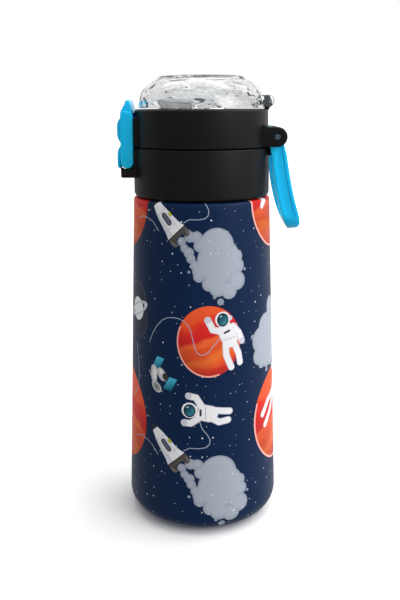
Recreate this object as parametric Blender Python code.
"""Insulated kids' water bottle: steel flask, screw collar, flip lid, clear dome over a flip spout.

The bottle's axis is Z and it stands on z = 0. The latch is on the -X side, and the lid hinge and
the carry loop are on the +X side. Lengths below are millimetres; the mesh makers turn them into
metres. Each moving group hangs from an empty that lies on its joint's axis.
"""

from math import cos, pi, radians, sin

import bmesh
import bpy
from mathutils import Matrix, Vector

MM = 0.001
ROUND = 40          # sides of the large turned pieces
SMALL = 20          # sides of tubes, rings and knuckles
PIN_SIDES = 14      # sides of pins and their holes

# Driving dimensions
GAP = 0.3           # air between neighbouring pieces
SHEET = 1.0         # steel thickness of both flask walls
BASE_R = 36.7       # flask radius just above the rounded foot
TOP_R = 33.05       # flask radius just under the shoulder
FOOT_ROUND = 9.0
SHOULDER_Z = 157.0
SHOULDER_ROUND = 1.6
VACUUM = 2.6        # space between the flask's two walls
NECK_R = 26.3
LIP_Z = 174.0

COLLAR_R = 32.7
COLLAR_Z = 157.4
SEAM_Z = 180.5      # top of the collar, where the flip lid meets it
COLLAR_BORE = 28.0
FLANGE_R = 25.6

LID_R = 32.2
LID_Z = SEAM_Z + 0.6
DECK_Z = 198.7
DECK_T = 2.5
LID_BORE = 29.2

DOME_R = 30.0
DOME_Z = DECK_Z + 0.5
DOME_TOP_Z = 215.0
DOME_WALL = 2.2

THREAD_PITCH = 4.0
THREAD_TURNS = 1.6

HINGE = (35.4, 185.7)        # x, z of the lid's hinge pin, which also carries the loop
DOME_HINGE = (31.4, 202.4)
LATCH_PIVOT = (-35.0, 174.0)
SPOUT_PIVOT = (8.0, 197.2)
STRAW_X = SPOUT_PIVOT[0]

PIN_R = 1.6
SMALL_PIN_R = 1.2
KNUCKLE_R = 4.6              # collar knuckle, and the eyes of the loop
CHEEK_IN = 12.6              # the lid's two hinge cheeks, measured from the middle
CHEEK_OUT = 15.0
EYE_IN = 9.0
EYE_OUT = 12.3
LATCH_HALF = 11.8
LATCH_PLATE = 2.0
BLOCK_HALF = 12.5


# ---------------------------------------------------------------- mesh makers

def arc(centre, radius, start, end, steps):
    """Points on an arc in a two-dimensional outline, angles in degrees."""
    angles = [radians(start + (end - start) * k / steps) for k in range(steps + 1)]
    return [(centre[0] + radius * cos(a), centre[1] + radius * sin(a)) for a in angles]


def make_object(name, bm, material):
    bmesh.ops.recalc_face_normals(bm, faces=bm.faces)
    mesh = bpy.data.meshes.new(name)
    bm.to_mesh(mesh)
    bm.free()
    mesh.shade_smooth()
    mesh.set_sharp_from_angle(angle=radians(35))
    obj = bpy.data.objects.new(name, mesh)
    if material:
        mesh.materials.append(material)
    bpy.context.scene.collection.objects.link(obj)
    return obj


def guide(obj):
    """Marks an object as one that only shapes another."""
    obj.hide_render = True
    obj.display_type = "WIRE"
    return obj


def turned(name, outline, material=None, sides=ROUND, centre=(0.0, 0.0)):
    """Spins a closed outline of (radius, z) about a vertical axis."""
    bm = bmesh.new()
    verts = [bm.verts.new((r * MM, 0.0, z * MM)) for r, z in outline]
    edges = [bm.edges.new((a, b)) for a, b in zip(verts, verts[1:] + verts[:1])
             if max(abs(a.co.x), abs(b.co.x)) > 1e-9]
    bmesh.ops.spin(bm, geom=verts + edges, cent=(0, 0, 0), axis=(0, 0, 1), angle=2 * pi,
                   steps=sides, use_merge=True)
    bmesh.ops.remove_doubles(bm, verts=bm.verts, dist=1e-7)
    bmesh.ops.translate(bm, verts=bm.verts, vec=(centre[0] * MM, centre[1] * MM, 0))
    return make_object(name, bm, material)


def prism(name, outline, low, high, material=None, along="Y"):
    """Extrudes a closed outline: (x, z) along Y, (y, z) along X, or (x, y) along Z."""
    place = {
        "Y": lambda p: (p[0], low, p[1]),
        "X": lambda p: (low, p[0], p[1]),
        "Z": lambda p: (p[0], p[1], low),
    }[along]
    step = Vector([(high - low) * MM if letter == along else 0.0 for letter in "XYZ"])
    bm = bmesh.new()
    face = bm.faces.new([bm.verts.new(Vector(place(p)) * MM) for p in outline])
    far = bmesh.ops.extrude_face_region(bm, geom=[face])["geom"]
    bmesh.ops.translate(bm, verts=[v for v in far if isinstance(v, bmesh.types.BMVert)], vec=step)
    return make_object(name, bm, material)


def rod(name, start, end, radius, material=None, sides=PIN_SIDES):
    """A closed cylinder between two points."""
    a, b = Vector(start) * MM, Vector(end) * MM
    turn = (b - a).to_track_quat("Z", "Y").to_matrix().to_4x4()
    bm = bmesh.new()
    bmesh.ops.create_cone(bm, cap_ends=True, segments=sides, radius1=radius * MM,
                          radius2=radius * MM, depth=(b - a).length,
                          matrix=Matrix.Translation((a + b) / 2) @ turn)
    return make_object(name, bm, material)


def pin_along_y(name, place, reach, radius, material=None, sides=PIN_SIDES):
    """A cylinder along Y through (x, z), from -reach to reach, or between two y values."""
    low, high = reach if isinstance(reach, tuple) else (-reach, reach)
    return rod(name, (place[0], low, place[1]), (place[0], high, place[1]), radius, material, sides)


def thread(name, root_r, crest_r, start_z, half_root=0.9, half_crest=0.45):
    """A helical ridge with a trapezoid section and ends that run out to nothing."""
    steps = int(ROUND * THREAD_TURNS)
    bm = bmesh.new()
    rings = []
    for k in range(steps + 1):
        a = 2 * pi * THREAD_TURNS * k / steps
        z = start_z + THREAD_PITCH * a / (2 * pi)
        fade = min(1.0, (k + 1) / 4, (steps - k + 1) / 4)
        top = root_r + (crest_r - root_r) * fade
        section = [(root_r, -half_root), (top, -half_crest), (top, half_crest), (root_r, half_root)]
        rings.append([bm.verts.new((r * cos(a) * MM, r * sin(a) * MM, (z + h) * MM))
                      for r, h in section])
    for near, far in zip(rings, rings[1:]):
        for i in range(4):
            j = (i + 1) % 4
            bm.faces.new((near[i], near[j], far[j], far[i]))
    bm.faces.new(rings[0])
    bm.faces.new(rings[-1])
    return make_object(name, bm, None)


def combine(target, operation, others):
    for other in others:
        boolean = target.modifiers.new(operation.lower() + "_" + other.name, "BOOLEAN")
        boolean.operation = operation
        boolean.solver = "EXACT"
        boolean.object = guide(other)


def unite(target, *others):
    combine(target, "UNION", others)


def cut(target, *others):
    combine(target, "DIFFERENCE", others)


def both_sides(maker, name, inner, outer):
    """Two copies of a shape, between inner and outer on each side of the middle plane."""
    return [maker(name + "_near", -outer, -inner), maker(name + "_far", inner, outer)]


# ---------------------------------------------------------------- materials

def finish(name, colour, roughness, metallic=0.0, alpha=1.0):
    material = bpy.data.materials.new(name)
    material.use_nodes = True
    shader = material.node_tree.nodes["Principled BSDF"]
    shader.inputs["Base Color"].default_value = (*colour, 1.0)
    shader.inputs["Roughness"].default_value = roughness
    shader.inputs["Metallic"].default_value = metallic
    shader.inputs["Alpha"].default_value = alpha
    material.diffuse_color = (*colour, alpha)
    return material


def make_finishes():
    return {
        "navy": finish("navy_paint", (0.012, 0.032, 0.085), 0.35),
        "steel": finish("brushed_steel", (0.62, 0.62, 0.63), 0.28, 1.0),
        "pin": finish("polished_pin", (0.7, 0.72, 0.75), 0.15, 1.0),
        "black": finish("black_plastic", (0.012, 0.012, 0.013), 0.45),
        "cyan": finish("cyan_plastic", (0.0, 0.4, 0.85), 0.25),
        "clear": finish("clear_plastic", (0.9, 0.92, 0.93), 0.05, 0.0, 0.35),
        "silicone": finish("clear_silicone", (0.8, 0.82, 0.83), 0.4, 0.0, 0.7),
        "white": finish("white_plastic", (0.8, 0.8, 0.79), 0.4),
        "seal": finish("grey_silicone", (0.55, 0.56, 0.57), 0.55),
    }


# ---------------------------------------------------------------- flask

def taper(z):
    """Outer radius of the flask's straight wall at a height."""
    low, high = FOOT_ROUND + 0.4, SHOULDER_Z - SHOULDER_ROUND
    return BASE_R + (TOP_R - BASE_R) * (z - low) / (high - low)


def make_outer_shell(mat):
    """Painted outer wall: rounded foot, tapered side, small shoulder, open at both ends."""
    foot = (BASE_R - FOOT_ROUND, FOOT_ROUND + 0.4)
    shoulder = (TOP_R - SHOULDER_ROUND, SHOULDER_Z - SHOULDER_ROUND)
    hole = NECK_R + 0.4
    outline = arc(foot, FOOT_ROUND, -90, 0, 6) + arc(shoulder, SHOULDER_ROUND, 0, 90, 4)
    outline += [(hole, SHOULDER_Z), (hole, SHOULDER_Z - SHEET)]
    outline += arc(shoulder, SHOULDER_ROUND - SHEET, 90, 0, 2)
    outline += arc(foot, FOOT_ROUND - SHEET, 0, -90, 5)
    return turned("outer_shell", outline, mat)


def make_base_plate(mat):
    """Disc that closes the foot and carries the bottle."""
    edge = BASE_R - FOOT_ROUND - GAP
    outline = [(0, 0), (edge - 0.5, 0), (edge, 0.5), (edge, 1.4), (0, 1.4)]
    return turned("base_plate", outline, mat)


def make_inner_flask(mat):
    """Steel liner: deep cup, sloped shoulder and straight neck with an outside thread."""
    bottom = 4.2
    low, high = 13.0, 147.0
    side_low = taper(low) - SHEET - VACUUM
    side_high = taper(high) - SHEET - VACUUM
    corner = (side_low - 8.0, bottom + 8.0)
    outline = [(0, bottom)] + arc(corner, 8.0, -90, 0, 4)
    outline += [(side_high, high), (NECK_R, high + 5.0), (NECK_R, LIP_Z - 0.3), (NECK_R - 0.3, LIP_Z)]
    outline += [(NECK_R - SHEET, LIP_Z), (NECK_R - SHEET, high + 4.6), (side_high - SHEET, high - 0.4)]
    outline += arc(corner, 8.0 - SHEET, 0, -90, 3) + [(0, bottom + SHEET)]
    flask = turned("inner_flask", outline, mat)
    unite(flask, thread("neck_thread", NECK_R - 0.4, NECK_R + 1.2, 162.0))
    return flask


def make_neck_gasket(mat):
    """Flat ring between the neck's lip and the collar's flange."""
    outline = [(25.0, LIP_Z + GAP), (27.7, LIP_Z + GAP), (27.7, LIP_Z + 1.9), (25.0, LIP_Z + 1.9)]
    return turned("neck_gasket", outline, mat)


# ---------------------------------------------------------------- collar

def latch_seat_outline():
    """Side view of the block that carries the latch, hollowed round the latch's pivot."""
    x, z = LATCH_PIVOT
    hollow = 5.4
    face, pad = -37.9, -31.7
    start = 180 + 57.5
    end = 360 - 52.3
    outline = [(-29.5, 166.7), (face + 0.5, 166.7), (face, 167.2)]
    outline += arc((x, z), hollow, start, end, 8)
    outline += [(pad, SEAM_Z - 0.2), (-29.5, SEAM_Z - 0.2)]
    return outline


def make_collar(mat):
    """Screw collar with an inside thread, the latch block and the middle hinge knuckle."""
    rim = 2.0
    outline = [(COLLAR_BORE + 0.5, COLLAR_Z)]
    outline += arc((COLLAR_R - rim, COLLAR_Z + rim), rim, -90, 0, 4)
    outline += [(COLLAR_R, SEAM_Z - 0.4), (COLLAR_R - 0.4, SEAM_Z), (FLANGE_R, SEAM_Z)]
    outline += [(FLANGE_R, LIP_Z + 2.2), (COLLAR_BORE, LIP_Z + 2.2), (COLLAR_BORE, COLLAR_Z + 0.5)]
    collar = turned("collar", outline, mat)
    unite(collar, thread("collar_thread", COLLAR_BORE + 0.4, NECK_R + 0.4, 160.0))

    x, z = LATCH_PIVOT
    lug = [(x + 3.8, z - 3.0), (x + 3.8, z + 3.0)] + arc((x, z), 3.0, 90, 270, 8)
    unite(collar,
          prism("latch_seat", latch_seat_outline(), -BLOCK_HALF, BLOCK_HALF),
          prism("latch_lug", lug, -(LATCH_HALF - LATCH_PLATE - 0.4), LATCH_HALF - LATCH_PLATE - 0.4))
    cut(collar, pin_along_y("latch_bore", LATCH_PIVOT, BLOCK_HALF + 1, SMALL_PIN_R + GAP))

    bracket = [(31.4, 171.0), (33.6, 171.0), (37.6, 178.6)]
    bracket += arc(HINGE, KNUCKLE_R, -20, 217, 14)
    bracket += [(32.6, 181.8), (32.6, SEAM_Z - 0.4), (31.4, SEAM_Z - 0.4)]
    half = EYE_IN - GAP
    unite(collar, prism("hinge_bracket", bracket, -half, half))
    cut(collar, pin_along_y("bracket_bore", HINGE, half + 1, PIN_R + GAP))
    return collar


def make_mouth_plate(mat):
    """Plate inside the collar with the pouring hole, the straw port and the vent hole."""
    rim = FLANGE_R - 0.4
    outline = [(0, 176.5), (rim - 0.4, 176.5), (rim, 176.9), (rim, 180.2)]
    outline += [(rim - 2.0, 180.2), (rim - 2.0, 178.5), (0, 178.5)]
    plate = turned("mouth_plate", outline, mat)
    cut(plate,
        rod("pour_hole", (-12.5, 0, 175), (-12.5, 0, 180), 7.0, sides=SMALL),
        rod("straw_hole", (STRAW_X, 0, 175), (STRAW_X, 0, 180), 4.2, sides=SMALL),
        rod("vent_hole", (0, 15, 175), (0, 15, 180), 1.6))
    return plate


def make_straw_parts(clear, white, seal):
    """Port with its spigot, the straw pushed over it, and the seal under the lid's channel."""
    port = [(1.9, 160.5), (2.7, 160.5), (2.7, 171.0), (3.9, 171.0), (3.9, 178.8), (5.5, 178.8),
            (5.5, 180.0), (1.9, 180.0)]
    straw = [(3.0, 9.0), (3.8, 9.0), (3.8, 170.7), (3.0, 170.7)]
    ring = [(2.6, 180.3), (4.6, 180.3), (4.6, 181.8), (2.6, 181.8)]
    centre = (STRAW_X, 0.0)
    return [
        turned("straw_port", port, white, SMALL, centre),
        turned("straw", straw, clear, SMALL, centre),
        turned("port_seal", ring, seal, SMALL, centre),
    ]


def make_air_valve(mat):
    """Mushroom valve that lets air in as water leaves."""
    outline = [(0, 174.6), (1.4, 174.6), (2.2, 175.4), (2.2, 176.2), (1.3, 176.2), (1.3, 178.8),
               (3.2, 178.8), (2.6, 179.8), (0, 179.8)]
    return turned("air_valve", outline, mat, PIN_SIDES, (0.0, 15.0))


# ---------------------------------------------------------------- flip lid

def make_upper_lid(mat):
    """Flip lid: skirt, deck with a well for the spout, catch block and two hinge cheeks."""
    edge = 1.4
    outline = [(LID_BORE, LID_Z), (LID_R, LID_Z)]
    outline += arc((LID_R - edge, DECK_Z - edge), edge, 0, 90, 3)
    outline += [(0, DECK_Z), (0, DECK_Z - DECK_T), (LID_BORE, DECK_Z - DECK_T)]
    lid = turned("upper_lid", outline, mat)
    unite(lid, prism("well_walls", [(-24, -12), (18, -12), (18, 12), (-24, 12)], 190.6, 197.5,
                     along="Z"))
    x, z = SPOUT_PIVOT
    cut(lid,
        prism("well", [(-21.5, -9.2), (15.5, -9.2), (15.5, 9.2), (-21.5, 9.2)], 192.0, 200.0,
              along="Z"),
        rod("well_drain", (x, 0, 189), (x, 0, 193), 2.6, sides=SMALL),
        pin_along_y("spout_pin_bore", (x, z), 11.0, SMALL_PIN_R + GAP),
        pin_along_y("hinge_scallop", HINGE, CHEEK_IN - 0.1, KNUCKLE_R + 0.4, sides=32))

    catch = [(-29.3, 181.3), (-35.4, 181.3), (-35.4, 193.6), (-34.5, 194.5), (-29.3, 194.5)]
    pad = [(-29.3, 181.3), (-31.7, 181.3), (-31.7, 193.4)]
    pad += arc((-33.2 + 3.0, 193.4), 1.5, 180, 90, 3) + [(-29.3, 194.9)]
    half = LATCH_HALF - LATCH_PLATE - 0.4
    unite(lid, prism("catch", catch, -half, half), prism("catch_pad", pad, -BLOCK_HALF, BLOCK_HALF))

    cheek = [(27.2, LID_Z + 0.1), (34.6, LID_Z + 0.1)] + arc(HINGE, 4.7, -90, 90, 12)
    cheek += [(33.0, HINGE[1] + 4.7), (30.6, HINGE[1] + 6.2), (27.2, HINGE[1] + 6.6)]
    unite(lid, *both_sides(lambda n, a, b: prism(n, cheek, a, b), "cheek", CHEEK_IN, CHEEK_OUT))
    cut(lid, pin_along_y("cheek_bore", HINGE, CHEEK_OUT + 1, PIN_R + GAP))

    lug = [(30.5, DECK_Z - 0.8), (31.8, DECK_Z - 0.8), (33.6, 200.6)]
    lug += arc(DOME_HINGE, 2.6, -20, 200, 10) + [(30.5, 200.4)]
    unite(lid, prism("dome_lug", lug, -4.5, 4.5))
    cut(lid, pin_along_y("dome_lug_bore", DOME_HINGE, 5.5, 1.0 + GAP))
    return lid


def make_lid_plug(mat):
    """Inner part of the flip lid: closes the mouth and leads water from straw to spout."""
    outline = [(0, 182.2), (27.6, 182.2), (28.8, 183.4), (28.8, 184.4), (26.0, 184.4),
               (24.0, 186.4), (0, 186.4)]
    plug = turned("lid_plug", outline, mat)
    tube = rod("channel_boss", (STRAW_X, 0, 184.0), (STRAW_X, 0, 190.3), 5.2, sides=SMALL)
    unite(plug, tube)
    cut(plug, rod("channel", (STRAW_X, 0, 180), (STRAW_X, 0, 192), 2.6, sides=SMALL))
    return plug


def make_lid_gasket(mat):
    outline = [(22.9, 180.6), (25.4, 180.6), (25.4, 181.9), (22.9, 181.9)]
    return turned("lid_gasket", outline, mat)


def make_spout_seal(mat):
    """Seat under the spout's barrel."""
    outline = [(2.6, 192.3), (4.4, 192.3), (4.4, 193.0), (3.4, 193.0), (2.6, 192.8)]
    return turned("spout_seal", outline, mat, SMALL, (SPOUT_PIVOT[0], 0.0))


# ---------------------------------------------------------------- dome and spout

def make_dome_cover(mat):
    """Clear cover: steep side, rounded shoulder, raised flat disc, two hinge knuckles."""
    outer = [(DOME_R, DOME_Z), (DOME_R, DOME_Z + 1.0), (29.4, 204.4), (28.2, 207.3), (26.0, 209.6),
             (23.6, 211.5), (21.4, 212.6), (20.7, 214.5), (20.2, DOME_TOP_Z), (0, DOME_TOP_Z)]
    inner = [(0, 212.2), (18.6, 212.2), (21.0, 210.4), (24.4, 207.8), (26.6, 205.0),
             (27.5, 202.0), (DOME_R - DOME_WALL, DOME_Z)]
    dome = turned("dome_cover", outer + inner, mat)
    x, z = DOME_HINGE
    cut(dome,
        pin_along_y("dome_scallop", DOME_HINGE, 4.8, 3.0, sides=SMALL),
        prism("dome_notch", [(28.9, 198.0), (36.0, 198.0), (36.0, z), (28.9, z)], -4.8, 4.8))
    knuckle = [(27.6, 200.2), (x - 1.5, 199.9)] + arc(DOME_HINGE, 2.9, -110, 110, 12)
    knuckle += [(27.4, 205.0)]
    unite(dome, *both_sides(lambda n, a, b: prism(n, knuckle, a, b), "dome_knuckle", 4.8, 9.0))
    cut(dome, pin_along_y("dome_bore", DOME_HINGE, 10.0, 1.0 + GAP))
    return dome


def make_spout_base(mat):
    """Barrel that turns in the well, with the spigot that carries the soft mouthpiece."""
    x, z = SPOUT_PIVOT
    body = arc((x, z), 4.0, -110, 70, 8)
    body += [(x - 5.0, z + 6.5), (x - 12.0, z + 7.2), (x - 12.0, z - 2.2)]
    spout = prism("spout_base", body, -8.8, 8.8, mat)
    unite(spout, rod("spout_spigot", (x - 11.5, 0, z + 2.4), (x - 18.0, 0, z + 3.1), 3.4, sides=SMALL))
    cut(spout,
        rod("spout_channel_low", (x + 6, 0, z), (x - 0.5, 0, z), 2.3, sides=SMALL),
        rod("spout_channel", (x + 0.6, 0, z - 0.2), (x - 20.0, 0, z + 3.3), 2.3, sides=SMALL),
        *both_sides(lambda n, a, b: pin_along_y(n, (x, z), (a, b), SMALL_PIN_R + GAP),
                    "spout_blind_bore", 6.0, 10.0))
    return spout


def make_spout_tip(mat):
    """Soft mouthpiece, flattened at the lips, pushed over the spigot."""
    x, z = SPOUT_PIVOT
    body = [(x - 12.4, z - 1.8), (x - 12.4, z + 7.2), (x - 24.0, z + 8.0), (x - 27.0, z + 7.2),
            (x - 28.4, z + 5.4), (x - 28.4, z + 1.8), (x - 27.0, z + 0.2), (x - 24.0, z - 0.2)]
    tip = prism("spout_tip", body, -7.6, 7.6, mat)
    plan = [(x - 12.0, -7.6), (x - 12.0, 7.6), (x - 22.0, 6.6), (x - 26.6, 5.6), (x - 28.8, 3.4),
            (x - 28.8, -3.4), (x - 26.6, -5.6), (x - 22.0, -6.6)]
    combine(tip, "INTERSECT", [prism("tip_plan", plan, z - 4, z + 10, along="Z")])
    cut(tip,
        rod("tip_socket", (x - 11.0, 0, z + 2.35), (x - 18.4, 0, z + 3.14), 3.7, sides=SMALL),
        rod("tip_channel", (x - 17.0, 0, z + 3.0), (x - 30.0, 0, z + 4.3), 2.3, sides=SMALL))
    return tip


# ---------------------------------------------------------------- latch and loop

def make_latch(mat):
    """Lever with two side plates, a front web with two finger grips, and a tip over the lid."""
    x, z = LATCH_PIVOT
    tip = [(-31.5, 196.5), (-31.1, 199.2), (-32.2, 203.0), (-34.9, 203.0), (-36.2, 199.7),
           (-37.4, 197.6), (-38.0, 195.5)]
    plate = [(x + 3.0, 195.4)] + tip + arc((x, z), 3.0, 180, 360, 10)
    web = [(-34.9, 203.0), (-36.2, 199.7), (-37.4, 197.6), (-38.1, 194.9), (-39.2, 193.4),
           (-39.7, 191.3), (-39.7, 186.4), (-39.2, 184.6), (-38.1, 183.2), (-38.1, 181.6),
           (-39.2, 180.3), (-39.7, 178.2), (-39.7, 172.4), (-39.1, 171.2), (-38.3, 170.9)]
    web += arc((x, z), 3.4, 205, 110, 5)
    web += [(-35.9, 179.0), (-35.9, 197.2), (-35.0, 199.9), (-34.2, 202.6)]
    latch = prism("latch", web, -LATCH_HALF, LATCH_HALF, mat)
    unite(latch, *both_sides(lambda n, a, b: prism(n, plate, a, b), "latch_side",
                             LATCH_HALF - LATCH_PLATE, LATCH_HALF))
    cut(latch, pin_along_y("latch_eye", LATCH_PIVOT, LATCH_HALF + 1, SMALL_PIN_R + GAP))
    return latch


def make_carry_loop(mat):
    """Crescent loop: two arms that join in a round bow, hung on the hinge pin by two eyes."""
    side = arc(HINGE, KNUCKLE_R, -45, 220, 16)
    side += [(33.1, 176.0), (34.3, 166.0), (35.9, 156.5), (38.3, 148.2), (41.0, 141.6), (41.8, 141.1)]
    side += [(45.9, 141.9), (46.8, 144.5), (46.2, 148.0), (43.9, 156.0), (41.8, 166.3), (40.1, 177.0)]
    loop = prism("carry_loop", side, -EYE_OUT, EYE_OUT, mat)
    bow_r = 9.0
    front = [(EYE_OUT, 195.0), (-EYE_OUT, 195.0)]
    front += arc((-EYE_OUT + bow_r, 141.0 + bow_r), bow_r, 180, 270, 4)
    front += arc((EYE_OUT - bow_r, 141.0 + bow_r), bow_r, 270, 360, 4)
    combine(loop, "INTERSECT", [prism("bow_outline", front, 28, 50, along="X")])
    window_r = 6.0
    window = [(EYE_IN, 196.0), (-EYE_IN, 196.0)]
    window += arc((-EYE_IN + window_r, 146.0 + window_r), window_r, 180, 270, 4)
    window += arc((EYE_IN - window_r, 146.0 + window_r), window_r, 270, 360, 4)
    cut(loop, prism("bow_window", window, 27, 51, along="X"),
        pin_along_y("eye_bore", HINGE, EYE_OUT + 1, PIN_R + GAP))
    return loop


# ---------------------------------------------------------------- assembly

def pivot(name, x, z, parent=None):
    """An empty on a joint's axis."""
    empty = bpy.data.objects.new(name, None)
    empty.empty_display_size = 10 * MM
    bpy.context.scene.collection.objects.link(empty)
    empty.location = (x * MM, 0.0, z * MM)
    if parent:
        bpy.context.view_layer.update()
        empty.parent = parent
        empty.matrix_parent_inverse = parent.matrix_world.inverted()
    bpy.context.view_layer.update()
    return empty


def hang(empty, *pieces):
    """Parents pieces to a pivot, with the guides that shape them, and leaves them in place."""
    for piece in pieces:
        guides = [m.object for m in piece.modifiers if m.type == "BOOLEAN"]
        for obj in [piece] + guides:
            obj.parent = empty
            obj.matrix_parent_inverse = empty.matrix_world.inverted()


def main():
    for obj in list(bpy.data.objects):
        bpy.data.objects.remove(obj)
    mat = make_finishes()

    make_outer_shell(mat["navy"])
    make_inner_flask(mat["steel"])
    make_base_plate(mat["steel"])

    lift = pivot("axis_collar_lift", 0, LIP_Z)
    hang(lift, make_neck_gasket(mat["seal"]))
    collar = pivot("axis_collar_turn", 0, LIP_Z, lift)
    hang(collar, make_collar(mat["black"]), make_mouth_plate(mat["white"]),
         *make_straw_parts(mat["clear"], mat["white"], mat["seal"]), make_air_valve(mat["seal"]),
         pin_along_y("hinge_pin", HINGE, CHEEK_OUT - 0.4, PIN_R, mat["pin"]),
         pin_along_y("latch_pin", LATCH_PIVOT, LATCH_HALF - 0.1, SMALL_PIN_R, mat["pin"]))

    lid = pivot("axis_lid_hinge", *HINGE, collar)
    x, z = SPOUT_PIVOT
    hang(lid, make_upper_lid(mat["black"]), make_lid_plug(mat["white"]),
         make_lid_gasket(mat["seal"]), make_spout_seal(mat["seal"]),
         pin_along_y("spout_pin_near", (x, z), (-10.8, -6.3), SMALL_PIN_R, mat["pin"]),
         pin_along_y("spout_pin_far", (x, z), (6.3, 10.8), SMALL_PIN_R, mat["pin"]),
         pin_along_y("dome_pin", DOME_HINGE, 8.9, 1.0, mat["pin"]))
    hang(pivot("axis_dome_hinge", *DOME_HINGE, lid), make_dome_cover(mat["clear"]))
    hang(pivot("axis_spout", x, z, lid), make_spout_base(mat["clear"]),
         make_spout_tip(mat["silicone"]))
    hang(pivot("axis_latch", *LATCH_PIVOT, collar), make_latch(mat["cyan"]))
    hang(pivot("axis_loop", *HINGE, collar), make_carry_loop(mat["cyan"]))


main()
